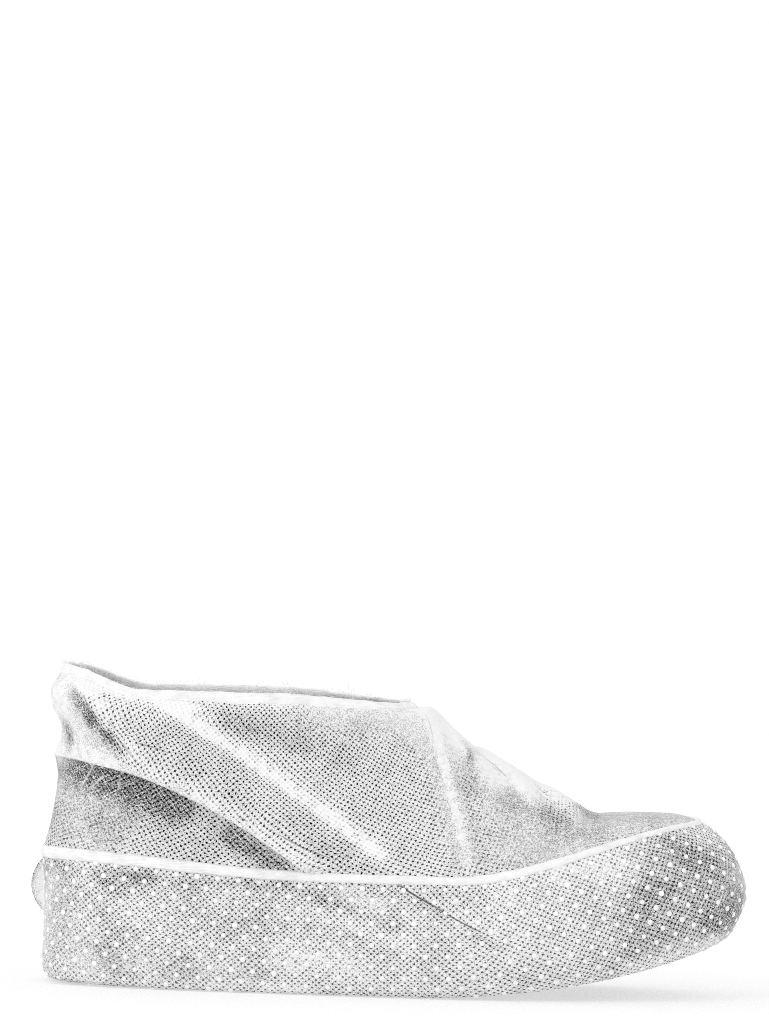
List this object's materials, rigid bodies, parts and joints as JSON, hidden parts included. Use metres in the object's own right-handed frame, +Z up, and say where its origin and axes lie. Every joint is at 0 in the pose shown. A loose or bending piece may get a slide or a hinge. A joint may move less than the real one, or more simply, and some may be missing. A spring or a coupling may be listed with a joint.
{
  "type": "anti-slip shoe cover",
  "caption": "Loose white nonwoven overshoe with a boat-shaped grip-dotted sole panel, a welted seam, a draped upper and a rolled elastic ankle hem.",
  "frame": {"origin": "on the floor, under the centre of the cover's bounding box", "axes": "+X towards the toe, +Z up out of the ankle opening, the side shown in the picture faces -Y"},
  "size_m": [0.3036, 0.1178, 0.133],
  "materials": {
    "grip_cloth": "white spunbond nonwoven with printed white grip dots",
    "upper_cloth": "thin white spunbond nonwoven with a bond-point lattice",
    "seam_tape": "smooth white welded cloth",
    "hem_elastic": "white cloth rolled over an elastic"
  },
  "bodies": {
    "root": {"grip_panel": "grip_cloth", "upper": "upper_cloth", "welt_seam": "seam_tape", "ankle_hem": "hem_elastic"}
  },
  "joints": []
}
